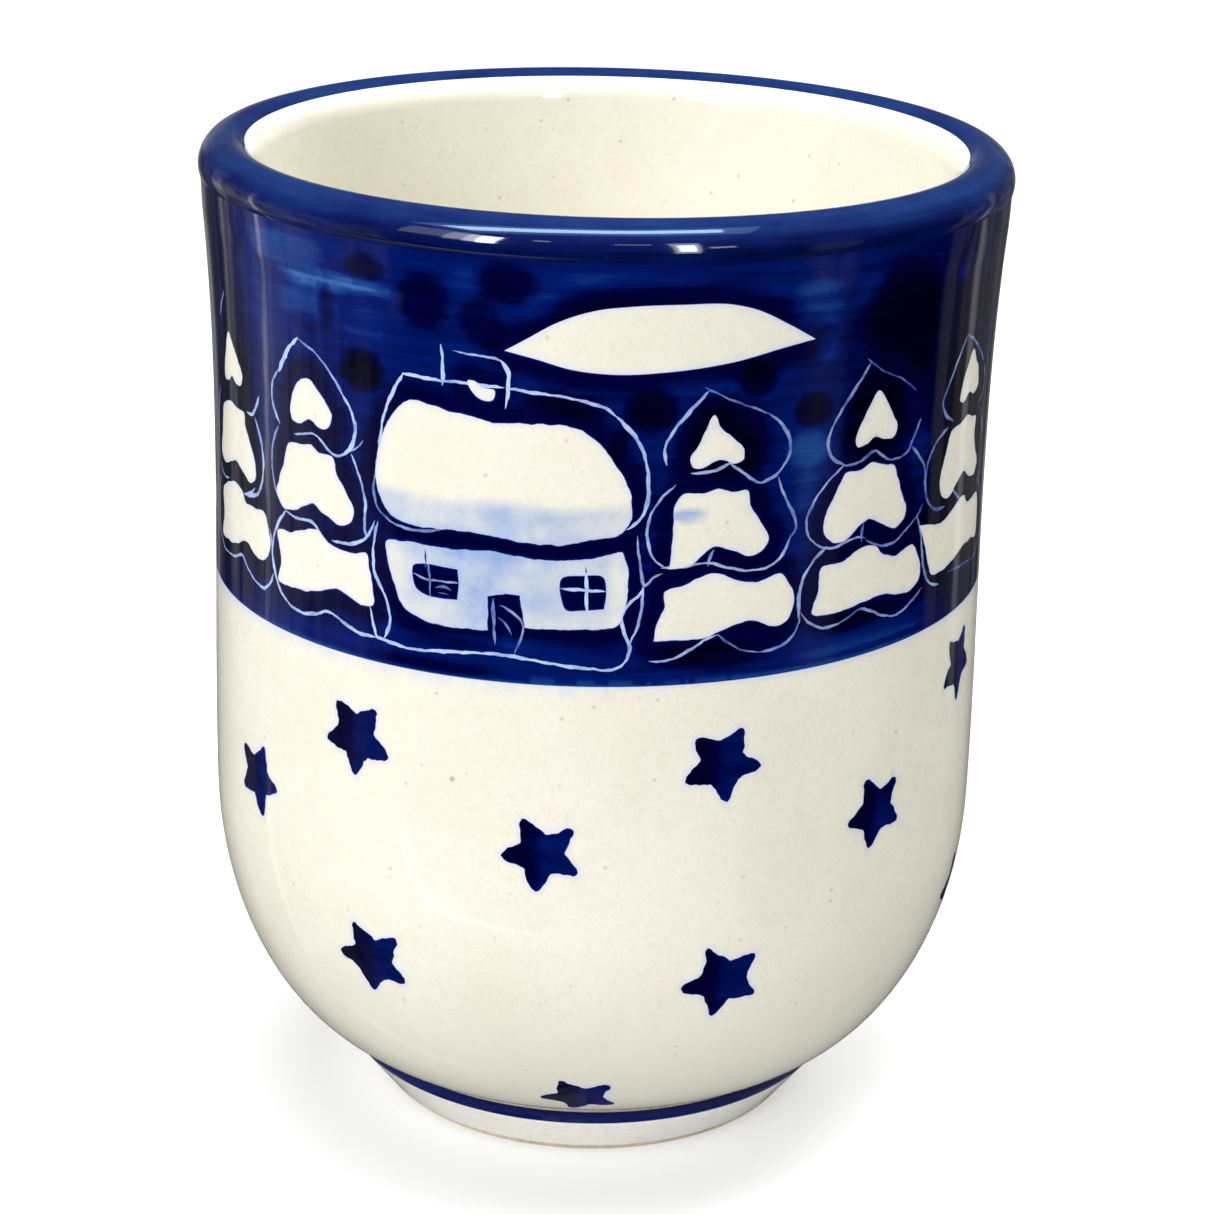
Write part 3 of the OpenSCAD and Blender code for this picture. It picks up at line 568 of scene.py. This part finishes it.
# ---------------------------------------------------------------- materials
class Graph:
    """Short way to write nodes."""

    def __init__(self, tree):
        self.tree = tree

    def add(self, kind, ins=None, **props):
        n = self.tree.nodes.new("ShaderNode" + kind)
        for k, v in props.items():
            setattr(n, k, v)
        for k, v in (ins or {}).items():
            self.put(n.inputs[k], v)
        return n

    def put(self, socket, v):
        if isinstance(v, bpy.types.NodeSocket):
            self.tree.links.new(v, socket)
        else:
            socket.default_value = v

    def math(self, op, a, b=0.5, c=0.5):
        return self.add("Math", {0: a, 1: b, 2: c}, operation=op).outputs[0]

    def mul(self, a, b):
        return self.math("MULTIPLY", a, b)

    def plus(self, a, b):
        return self.math("ADD", a, b)

    def scaled(self, x, by, plus):
        return self.math("MULTIPLY_ADD", x, by, plus)

    def swing(self, x, by):
        """A noise about 0.5 turned into a swing about 0."""
        return self.mul(self.math("SUBTRACT", x, 0.5), by)

    def xyz(self, x, y, z=0.0):
        return self.add("CombineXYZ", {0: x, 1: y, 2: z}).outputs[0]

    def parts(self, vec):
        return self.add("SeparateXYZ", {0: vec}).outputs

    def mix(self, f, a, b):
        return self.add("Mix", {0: f, 6: a, 7: b}, data_type="RGBA").outputs[2]

    def colours(self, x, stops):
        """A colour ramp; stops are (position, (red, green, blue))."""
        node = self.add("ValToRGB", {0: x})
        marks = node.color_ramp.elements
        for mark, (at, colour) in zip(marks, (stops[0], stops[-1])):
            mark.position, mark.color = at, (*colour, 1)
        for at, colour in stops[1:-1]:
            marks.new(at).color = (*colour, 1)
        return node.outputs[0]

    def ramp(self, x, a, b):
        return self.add("MapRange", {0: x, 1: a, 2: b}, interpolation_type="SMOOTHSTEP").outputs[0]

    def attr(self, name):
        return self.add("Attribute", attribute_name=name).outputs["Fac"]

    def noise(self, vec, scale, detail=3.0, rough=0.5, distort=0.0):
        return self.add("TexNoise", {"Vector": vec, "Scale": scale, "Detail": detail, "Roughness": rough,
                                     "Distortion": distort}).outputs[0]


class Nodes(Graph):
    """The nodes of one material."""

    def __init__(self, name):
        self.mat = bpy.data.materials.new(name)
        self.mat.use_nodes = True
        super().__init__(self.mat.node_tree)
        self.bsdf = self.tree.nodes["Principled BSDF"]

    def place(self):
        return self.add("TexCoord").outputs["Object"]

    def painted(self, su, sv):
        """Coordinates round the wall and up it, in millimetres, stretched by su and sv."""
        u, v = self.attr("paint_u"), self.attr("paint_v")
        w = self.math("DIVIDE", u, ROUND)
        x = self.mul(self.math("SINE", w), ROUND * su)
        y = self.mul(self.math("COSINE", w), ROUND * su)
        return self.xyz(x, y, self.mul(v, sv))

    def gloss(self, colour, rough, bump=None):
        self.put(self.bsdf.inputs["Base Color"], colour)
        self.put(self.bsdf.inputs["Roughness"], rough)
        if bump is not None:
            self.put(self.bsdf.inputs["Normal"], bump)
        return self.mat

    def bump(self, height, dist_mm, strength):
        ins = {"Strength": strength, "Distance": dist_mm * MM, "Height": height}
        return self.add("Bump", ins).outputs[0]


def glazed(n, place, colour, rough):
    """Finishes a glaze: slow waves and fine orange peel under a smooth shine."""
    n.bsdf.inputs["IOR"].default_value = 1.5
    slow = n.noise(place, 70, 2.0, 0.45)
    peel = n.noise(place, 420, 2.0, 0.5)
    return n.gloss(colour, rough, n.bump(n.plus(slow, n.mul(peel, 0.02)), 0.16, 0.6))


def cream_material(name, tint=(0.79, 0.76, 0.668), painted_low_shade=False, painted_mouth_highlight=False):
    n = Nodes(name)
    place = n.place()
    cloudy = n.noise(place, 38, 4.0, 0.6)
    c = n.mix(n.ramp(cloudy, 0.35, 0.65), (tint[0] * 0.95, tint[1] * 0.945, tint[2] * 0.92, 1), (*tint, 1))
    height = n.parts(place)[2]
    if painted_mouth_highlight:      # painted highlight: the glaze is whiter on the roll just under the mouth
        high = n.ramp(height, 0.1100, 0.1114)
        c = n.mix(high, c, (0.97, 0.97, 0.955, 1))
    if painted_low_shade:      # painted shade: the glaze is darkened a little down towards the foot
        low = n.ramp(height, 0.038, 0.012)
        c = n.mix(n.mul(low, 0.19), c, (0, 0, 0, 1))
    grain = n.noise(place, 520, 3.0, 0.65)
    fine = n.noise(place, 2300, 1.0)
    grainy = 0.07 if painted_mouth_highlight else 0.15
    c = n.mix(n.mul(n.ramp(grain, 0.45, 0.7), grainy), c, (0.62, 0.57, 0.46, 1))
    c = n.mix(n.mul(n.ramp(fine, 0.4, 0.6), grainy), c, (0.6, 0.56, 0.46, 1))
    for scale, size, share, shade in ((210, 0.034, 0.45, (0.33, 0.27, 0.19, 1)),
                                      (620, 0.075, 0.45, (0.52, 0.47, 0.38, 1))):
        vor = n.add("TexVoronoi", {"Vector": place, "Scale": scale})
        dot = n.ramp(vor.outputs["Distance"], size * 2.6, size)
        pick = n.ramp(n.add("SeparateColor", {0: vor.outputs["Color"]}).outputs[0], 1 - share * 0.5, 1)
        c = n.mix(n.mul(n.mul(dot, pick), 0.75), c, shade)
    c = n.mix(n.mul(n.attr("halo"), 0.42), c, (0.42, 0.50, 0.80, 1))
    wash = n.attr("wash")
    patchy = n.ramp(n.noise(place, 260, 3.0, 0.6), 0.3, 0.7)
    c = n.mix(n.mul(wash, n.scaled(patchy, 0.45, 0.6)), c, (0.22, 0.335, 0.60, 1))
    return glazed(n, place, c, n.scaled(cloudy, 0.04, 0.03))


def cobalt_material(name):
    n = Nodes(name)
    place = n.place()
    streak = n.noise(n.painted(0.06, 0.9), 0.85, 5.0, 0.62, 0.4)
    cloudy = n.noise(place, 75, 4.0, 0.6)
    t = n.plus(n.plus(n.attr("tone"), n.swing(streak, 0.9)), n.swing(cloudy, 0.5))
    c = n.colours(n.scaled(t, 0.5, 0.5), [
        (0.0, (0.0003, 0.0003, 0.007)), (0.27, (0.0002, 0.0006, 0.032)), (0.5, (0.0004, 0.0080, 0.112)),
        (0.72, (0.008, 0.046, 0.205)), (1.0, (0.08, 0.185, 0.43))])
    n.bsdf.inputs["Specular IOR Level"].default_value = 0.3
    return glazed(n, place, c, n.scaled(cloudy, 0.04, 0.015))


# the wall's cream glaze, with painted shade darkening it towards the foot
CREAM = cream_material("cream_glaze", painted_low_shade=True)
# the inside is the same cream painted lighter than the wall's, as painted light for the bright inside, with
# a painted highlight under the mouth
INSIDE = cream_material("cream_inside", (0.93, 0.905, 0.815), painted_mouth_highlight=True)
# the foot is the same cream painted lighter still, as painted light that keeps it bright in the shade under
# the belly
FOOT = cream_material("cream_foot", (0.96, 0.95, 0.9))
COBALT = cobalt_material("cobalt_under_glaze")


# ---------------------------------------------------------------- the band
def stroke_field():
    return [("line%d" % i, ribbon(pts, w * 0.64, 31 * i)) for i, (w, s, pts) in enumerate(LINES)]


def sheet_outline(us, low, top, step=1.5):
    """A coat's outline from low to top, with points up both of its ends so that they follow the wall."""
    def end(u, a, b):
        v = np.linspace(a, b, int(abs(b - a) / step) + 2)[1:-1]
        return np.stack([np.full(len(v), u), v], -1)
    return np.concatenate([np.stack([us, low], -1), end(us[-1], low[-1], top[-1]),
                           np.stack([us, top], -1)[::-1], end(us[0], top[0], low[0])])


def tone_of(co, shapes):
    """How thin (above 0) or thick (below 0) the cobalt lies at each point."""
    d = near(co, shapes)
    t = -0.12 - 0.42 * (1 - soft_step(d, 0.9, 3.0))
    for u, v, ru, rv, lean, amount in DABS:
        c, s = math.cos(math.radians(lean)), math.sin(math.radians(lean))
        x, y = (co[:, 0] - u + HALF / 2) % HALF - HALF / 2, co[:, 1] - v
        q = np.hypot((x * c + y * s) / ru, (y * c - x * s) / rv)
        t += amount * (1 - soft_step(q, 0.55, 1.15))
    t += 0.5 * (1 - soft_step(d, 0.0, 0.22))
    return np.clip(t, -1, 1)


def build_band():
    left, right = -57.6, -57.6 + HALF
    us = np.linspace(left, right, 140)
    shapes = [("tree", wander(smooth(lobe), 0.06, i)) for i, lobe in enumerate(sum(TREES, []))]
    shapes += [("roof", wander(smooth(ROOF), 0.07, 90)), ("roof", smooth(CHIMNEY_SNOW)),
               ("front", wander(smooth(FRONT), 0.06, 91)), ("cloud", smooth(CLOUD))]
    panes = [("pane", smooth(p)) for p in PANES]
    strokes = stroke_field() + [("ink", ribbon(pts, w, 7)) for w, pts in INK]
    whites = [l for k, l in shapes] + [l for k, l in panes]
    grid = 0.8
    parts = {k: [] for k in ("ground", "tree", "roof", "front", "cloud", "scratch")}
    for half in (0, 1):
        # the second half turn is the same painting, a little off, as a hand would do it
        edge = band_edge(us + half * HALF)
        top = np.full(len(us), V_TOP)
        outer = sheet_outline(us, edge, top)

        def off(line):
            if not half:
                return line
            w = np.sin((line[:, 0] - left) / HALF * math.pi) ** 0.5
            return line + np.stack([0.9 * w * np.sin(line[:, 0] / 9.0 + 1),
                                    0.7 * w * np.cos(line[:, 0] / 13.0) * (line[:, 1] < 100)], -1)
        fields = [(k, off(l)) for k, l in shapes + panes + strokes]
        rings = {k: (-0.3, 0.3, 0.75) for k in ("tree", "roof", "front", "cloud", "pane")}
        co, tris, tags = arrange(outer, fields, grid, rings)
        lines = [off(l) for l in whites]
        d = near(co, lines)
        tone = tone_of(co, lines)
        bottom = co[:, 1] - band_edge(co[:, 0] + half * HALF)
        halo = 1 - soft_step(d, 0.0, 0.55)
        wash = np.zeros(len(co))
        pick = {k: [] for k in parts}
        for i, tag in enumerate(tags):
            white = tag & {"tree", "roof", "front", "cloud"}
            line = [t for t in tag if t.startswith("line")]
            if white and not tag & {"pane", "ink"}:
                pick[next(iter(white))].append(i)
            elif line:
                pick["scratch"].append(i)
            else:
                pick["ground"].append(i)
        u, v = co[:, 0], co[:, 1]
        roof_top = 83.2 + 0.01 * (u + 10) + 0.25 * np.sin(u / 2.2)
        roof_wash = (1 - soft_step(v, roof_top - 1.1, roof_top + 0.5)) * (0.5 + 0.08 * np.sin(u / 2.7 + 2))
        roof_wash += 0.4 * (1 - soft_step(np.hypot((u + 8.5) / 5.0, (v - 81.6) / 1.9), 0.2, 1.2))
        roof_wash += 0.2 * (1 - soft_step(v, 79.4, 80.8))
        front_wash = (0.56 + 0.42 * np.exp(-((u + 12) / 3.4) ** 2) + 0.12 * np.exp(-((u + 5.5) / 2.5) ** 2)
                      - 0.3 * soft_step(u, 0.6, 2.2) - 0.2 * soft_step(-v, -72.6, -70.6)
                      - 0.22 * soft_step(-u, 19.5, 21.5) + 0.16 * soft_step(v, 76.0, 77.4))
        mark = (1 - soft_step(np.hypot((u - 9.0) / 2.6, (v - 82.3) / 0.75), 0.4, 1.1)) * 0.8
        strength = np.full(len(co), 0.7)
        inked = np.zeros(len(co))
        for i, tag in enumerate(tags):
            if "ink" in tag:
                inked[tris[i]] = 1.1
            for t in tag:
                if t.startswith("line"):
                    strength[tris[i]] = LINES[int(t[4:])][1] - 0.25 * soft_step(co[tris[i], 0], 10, 30)
        for k, ids in pick.items():
            a = {"tone": tone, "halo": halo, "wash": wash}
            if k == "roof":
                a["wash"] = np.clip(roof_wash, 0, 1)
            if k == "front":
                a["wash"] = np.clip(front_wash, 0, 1)
            if k == "tree":
                a["wash"] = mark
            if k == "scratch":
                a = {"strength": strength}
            if k == "ground":
                a = {"tone": np.clip(tone + 0.5 * (1 - soft_step(bottom, 0, 0.25)) + inked, -1, 1)}
            parts[k].append((co, tris[ids], a, half * HALF))
    return parts


def scratch_material():
    n = Nodes("scratched_line")
    place = n.place()
    s = n.plus(n.attr("strength"), n.swing(n.noise(place, 420, 4, 0.65), 1.5))
    c = n.mix(n.ramp(s, 0.05, 1.25), (0.01, 0.04, 0.25, 1), (0.44, 0.57, 0.84, 1))
    return glazed(n, place, c, n.scaled(n.noise(place, 75, 2), 0.04, 0.03))


band = build_band()
finish_piece(coat_mesh("frieze_cobalt", band["ground"]), COBALT, "cobalt", "frieze_coat")
finish_piece(coat_mesh("scratched_lines", band["scratch"]), scratch_material(), "blue_wash")
for name, kind, slot in (("fir_trees", "tree", "clear_glaze"), ("roof_snow", "roof", "clear_glaze"),
                         ("house_front", "front", "blue_wash"), ("cloud", "cloud", "clear_glaze")):
    finish_piece(coat_mesh(name, band[kind]), CREAM, slot, kind + "_reserve")


# ---------------------------------------------------------------- the lower wall and its stars
def build_lower():
    us = np.linspace(-HALF, HALF, 221)
    outer = sheet_outline(us, np.full(len(us), V_LOW), band_edge(us))
    stars = []
    for u, v, turn, size, seed in star_places():
        u = (u + HALF) % TURN - HALF
        u = max(CLEAR - HALF, min(HALF - CLEAR, u))
        squeeze = ROUND / np.interp(v, WALL_V, WALL[:, 0])
        line = star_line(turn, size, seed)
        stars.append((u, v, line * (squeeze, 1) + (u, v)))
    fields = [("star", s[2]) for s in stars]
    grid = 1.5
    co, tris, tags = arrange(outer, fields, grid, {"star": (-0.3, 0.3, 0.75)})
    d = near(co, [s[2] for s in stars])
    star = np.array(["star" in t for t in tags])
    bottom = band_edge(co[:, 0]) - co[:, 1]
    halo = np.maximum(1 - soft_step(d, 0.0, 0.6), 1 - soft_step(bottom, 0, 0.7))
    centre = np.array([(s[0], s[1]) for s in stars])
    k = np.argmin(np.hypot(co[:, None, 0] - centre[None, :, 0], co[:, None, 1] - centre[None, :, 1]), 1)
    side = co[:, 0] - centre[k, 0]
    tone = -0.75 + 0.5 * soft_step(side, -1.8, 0.3) + 0.3 * (1 - soft_step(d, 0.0, 0.25))
    zero = np.zeros(len(co))
    return ([(co, tris[~star], {"halo": halo, "wash": zero}, 0.0)],
            [(co, tris[star], {"tone": tone}, 0.0)])


lower, stars = build_lower()
finish_piece(coat_mesh("lower_glaze", lower), CREAM, "clear_glaze", "lower_glaze")
finish_piece(coat_mesh("stamped_stars", stars), COBALT, "cobalt", "star_stamps")

# ---------------------------------------------------------------- lip, inside, foot
LIP_CR, LIP_CZ = LIP_OUT_R - LIP_R, CUP_H - LIP_R


def lip_line(o):
    return (arc(LIP_CR, LIP_CZ, LIP_R - o, LIP_R - o, -15, 90, 40)
            + arc(THROAT_R + ROLL_R, CUP_H - ROLL_R, ROLL_R - o, ROLL_R - o, 90, BLUE_END, 10))


def inside_line(o):
    return ([(0, FLOOR_Z - o)]
            + arc(INNER_R - INNER_SWEEP, BELLY_Z, INNER_SWEEP + o, BELLY_Z - FLOOR_Z + o, -90, 0, 60)
            + bezier([(INNER_R + o, BELLY_Z), (INNER_R + o, 80), (THROAT_R + o, 98),
                      (THROAT_R + o, CUP_H - ROLL_R)], 40)[1:]
            + arc(THROAT_R + ROLL_R, CUP_H - ROLL_R, ROLL_R - o, ROLL_R - o, 180, BLUE_END, 16)[1:])


def flank(t, o):
    return (FOOT_LOW_R + (FOOT_TOP_R - FOOT_LOW_R) * t - o, 0.9 + (FOOT_Z - 0.9) * t)


def lip_material():
    n = Nodes("cobalt_lip")
    place = n.place()
    cloudy = n.noise(place, 110, 5.0, 0.65)
    x, y, z = n.parts(place)
    round_it = n.mul(n.math("ARCTAN2", x, y), 2.2)
    drag = n.noise(n.xyz(round_it, n.mul(z, 900)), 1.6, 5.0, 0.65)
    # the cobalt is painted lighter towards the top of the lip
    lighter_up_top = n.ramp(z, (GROOVE_Z + 0.6) * MM, (CUP_H - 0.2) * MM)
    t = n.plus(n.plus(n.mul(lighter_up_top, 0.34), n.swing(cloudy, 0.5)), n.swing(drag, 0.55))
    c = n.colours(n.plus(t, 0.14), [(0.0, (0.0004, 0.001, 0.018)), (0.3, (0.0008, 0.007, 0.085)),
                                    (0.6, (0.005, 0.029, 0.14)), (1.0, (0.03, 0.11, 0.30))])
    return glazed(n, place, c, n.scaled(cloudy, 0.05, 0.03))


wall_top, wall_top_in = (GROOVE_R, GROOVE_Z), (GROOVE_R - COAT, GROOVE_Z)
finish_piece(turned_mesh("lip_cobalt", [wall_top] + lip_line(0) + lip_line(COAT)[::-1] + [wall_top_in]),
             lip_material(), "cobalt", "lip_coat")
finish_piece(turned_mesh("inner_glaze", inside_line(0) + inside_line(COAT)[::-1]),
             INSIDE, "clear_glaze", "inner_glaze")
ledge = (FOOT_TOP_R - 0.95, FOOT_Z + 0.45)
finish_piece(turned_mesh("foot_line", [flank(t, 0) for t in (0.84, 0.92, 1.0)]
                         + [ledge, (ledge[0], ledge[1] - COAT), flank(0.84, COAT)]),
             COBALT, "cobalt", "foot_line")
finish_piece(turned_mesh("foot_glaze", [flank(t, 0) for t in (0, 0.25, 0.5, 0.84)]
                         + [flank(0.84, COAT), flank(0, COAT)]),
             FOOT, "clear_glaze", "foot_glaze")
finish_piece(turned_mesh("hollow_glaze", [(0, HOLLOW_Z + COAT), (HOLLOW_R, HOLLOW_Z + COAT),
                                          (HOLLOW_R, HOLLOW_Z), (0, HOLLOW_Z)]),
             CREAM, "clear_glaze", "hollow_glaze")


def clay_material():
    n = Nodes("bare_clay")
    place = n.place()
    g = n.noise(place, 900, 5.0, 0.7)
    c = n.mix(n.ramp(g, 0.3, 0.7), (0.46, 0.37, 0.26, 1), (0.66, 0.57, 0.44, 1))
    return n.gloss(c, n.scaled(g, 0.3, 0.6), n.bump(g, 0.12, 0.8))


wall_in = [tuple(p) for p in (WALL - along(WALL)[1] * COAT)[::6]]
clay_line = ([(0, HOLLOW_Z + COAT), (HOLLOW_R, HOLLOW_Z + COAT), (REST_IN_R - 0.35, 0.5)]
             + arc(REST_IN_R + 0.45, 0.8, 0.8, 0.8, 200, 270, 6)
             + arc(REST_OUT_R - 0.2, 0.9, 0.9, 0.9, -90, -15, 7)
             + [flank(0.05, COAT), (FOOT_TOP_R - COAT - 0.3, FOOT_Z - 0.35)] + wall_in
             + [(GROOVE_R - COAT, GROOVE_Z)] + lip_line(COAT) + inside_line(COAT)[::-1])
finish_piece(turned_mesh("clay_body", clay_line), clay_material(), "clay", "clay_body")

# ---------------------------------------------------------------- studio and camera
scene = bpy.context.scene
scene.view_settings.view_transform = "Standard"
scene.view_settings.look = "None"

PITCH, ROLL, YAW = (math.radians(a) for a in (19.98, 1.42, 0.21))
EYE = Vector((0, -0.3289, 0.1766))
look = Vector((math.sin(YAW) * math.cos(PITCH), math.cos(YAW) * math.cos(PITCH), -math.sin(PITCH)))
side = look.cross(Vector((0, 0, 1))).normalized()
rise = side.cross(look)
right = side * math.cos(ROLL) + rise * math.sin(ROLL)
up = rise * math.cos(ROLL) - side * math.sin(ROLL)
cam = bpy.data.objects.new("camera", bpy.data.cameras.new("camera"))
cam.data.sensor_width = 36
cam.data.lens = 89.85
cam.data.clip_start, cam.data.clip_end = 0.01, 50
cam.matrix_world = Matrix.Translation(EYE) @ Matrix((right, up, -look)).transposed().to_4x4()
scene.collection.objects.link(cam)
scene.camera = cam

floor = bpy.data.meshes.new("floor")
floor.from_pydata([(-6, -6, 0), (6, -6, 0), (6, 6, 0), (-6, 6, 0)], [], [(0, 1, 2, 3)])
floor = bpy.data.objects.new("floor", floor)
scene.collection.objects.link(floor)
fn = Nodes("lit_table")
fn.put(fn.bsdf.inputs["Emission Color"], (1, 1, 1, 1))
fn.put(fn.bsdf.inputs["Emission Strength"], 0.45)
floor.data.materials.append(fn.gloss((0.55, 0.55, 0.55, 1), 0.9))
floor.visible_glossy = False

world = bpy.data.worlds.new("studio")
scene.world = world
world.use_nodes = True
sky = Graph(world.node_tree)
ray = sky.add("SeparateXYZ", {0: sky.add("TexCoord").outputs["Generated"]}).outputs
turn = sky.mul(sky.math("ARCTAN2", ray[0], sky.mul(ray[1], -1.0)), 180 / math.pi)
# what the glaze mirrors of the room below eye height: from and to in degrees round from the camera,
# softness, strength
ROOM = [(-85, -62, 4, 0.26), (-131, -85, 3, 0.33), (-114.6, -112.4, 0.7, 1.7), (-117, -110, 2, 0.25),
        (-139.5, -132, 2, 0.62), (-152, -139.5, 2, 0.08), (57, 73, 3, 0.16), (113, 128, 2, 0.12),
        (131, 135.5, 1.2, 0.3), (128, 156, 3, 0.1), (-185, -156, 5, 0.3), (158, 185, 5, 0.2)]
low = 0.0
for a0, a1, soft, power in ROOM:
    patch = sky.mul(sky.ramp(turn, a0 - soft, a0 + soft), sky.ramp(turn, a1 + soft, a1 - soft))
    low = sky.scaled(patch, power, low)
# the things in the room stand in upright patches
grid = sky.xyz(sky.mul(turn, 0.09), sky.mul(ray[2], 5.0))
things = sky.ramp(sky.noise(grid, 1.0, 4.0, 0.7), 0.36, 0.62)
low = sky.mul(low, sky.scaled(things, 1.2, 0.4))
low = sky.mul(low, sky.scaled(sky.ramp(ray[2], -0.37, -0.29), 0.7, 0.3))
# the pale table on the left, with the round end of the dark stand in front of it
drop = sky.math("DIVIDE", sky.math("MAXIMUM", sky.math("SUBTRACT", -0.35, ray[2]), 0.0), 0.15)
reach = sky.math("SQRT", sky.plus(sky.math("POWER", sky.math("DIVIDE", turn, 60.0), 2.0),
                                  sky.math("POWER", drop, 2.0)))
table = sky.mul(sky.ramp(ray[2], -0.345, -0.40), sky.ramp(turn, 0, -25))
edge = sky.mul(sky.ramp(reach, 0.955, 1.0), sky.ramp(reach, 1.07, 1.0))
edge = sky.mul(edge, sky.scaled(sky.ramp(drop, 0.1, 0.8), 2.6, 0.4))
field = sky.mul(sky.ramp(reach, 0.955, 1.03), sky.mul(sky.ramp(reach, 1.9, 1.0), 0.35))
table = sky.mul(table, sky.plus(field, edge))
low = sky.plus(low, table)
dome = sky.scaled(sky.ramp(ray[2], 0.3, 0.9), 0.10, 0.07)
light = sky.add("Mix", {0: sky.ramp(ray[2], -0.14, 0.3), 2: low, 3: dome}, data_type="FLOAT").outputs[0]
sky.put(sky.tree.nodes["Background"].inputs["Color"], (1.0, 0.99, 0.97, 1))
sky.put(sky.tree.nodes["Background"].inputs["Strength"], light)


def aimed(turn, rise, far, target=(0, 0, 0.06)):
    """The point that far from the target, turn degrees round from the camera and rise degrees up."""
    t, e = math.radians(turn), math.radians(rise)
    way = Vector((math.sin(t) * math.cos(e), -math.cos(t) * math.cos(e), math.sin(e)))
    return Vector(target) + far * way


def lamp(name, place, size, glow, tint=(1, 1, 1), mirrored=False, flat=None):
    """A flat lamp turned to the cup. glow is the brightness of its face. A mirrored lamp shows in the glaze
    and lights nothing else; the others light the clay and the table and don't show in the glaze."""
    data = bpy.data.lights.new(name, "AREA")
    data.shape, data.size, data.size_y, data.color = "RECTANGLE", size[0], size[1], tint
    data.energy = glow * math.pi * size[0] * size[1]
    obj = bpy.data.objects.new(name, data)
    if flat is None:
        aim = (Vector((0, 0, 0.06)) - place).to_track_quat("-Z", "Y").to_matrix().to_4x4()
    else:
        aim = Matrix.Rotation(math.radians(flat), 4, "Z")
    obj.matrix_world = Matrix.Translation(place) @ aim
    obj.visible_camera, obj.visible_glossy, obj.visible_diffuse = False, mirrored, not mirrored
    scene.collection.objects.link(obj)


lamp("key", aimed(-33, 27, 1.2), (0.6, 0.6), 7.45)
lamp("high", aimed(-45, 58, 1.2), (0.6, 0.6), 1.2)
lamp("left_wall", aimed(-75, 16, 1.4), (1.5, 1.0), 0.68)
lamp("right_wall", aimed(75, 16, 1.4), (1.5, 1.0), 0.3)
lamp("ceiling", aimed(180, 85, 1.3), (1.0, 1.0), 6.2)
lamp("back", aimed(128, 50, 1.1), (0.5, 0.5), 9.9)
# the skylight and the windows that the lip mirrors
SKY_BLUE = (0.45, 0.72, 1.0)
lamp("skylight", Vector((-0.15, -0.33, 1.05)), (1.05, 0.22), 18, SKY_BLUE, True, 19)
lamp("skylight_edge", Vector((-0.15, -0.36, 1.06)), (1.3, 0.5), 2.2, SKY_BLUE, True, 19)
# windows: degrees round, degrees up, distance, width, height, brightness
LIP_EYE = (0, -0.04, 0.11)
windows = [(-33, 21, 1.2, 0.12, 0.5, 28), (-36.5, 21.5, 1.21, 0.14, 0.5, 8), (-41, 23, 1.22, 0.2, 0.5, 4),
           (-50, 27, 1.23, 0.4, 0.5, 1.6), (23.4, 13, 0.3, 0.026, 0.12, 22), (23.4, 13, 0.31, 0.042, 0.2, 6),
           (-18, 30, 1.2, 0.09, 0.08, 5), (8, 28, 1.2, 0.2, 0.08, 3), (33, 14, 0.5, 0.06, 0.04, 6)]
for around, above, far, wide, high, glow in windows:
    lamp("window", aimed(around, above, far, LIP_EYE), (wide, high), glow, (0.93, 0.97, 1), True)
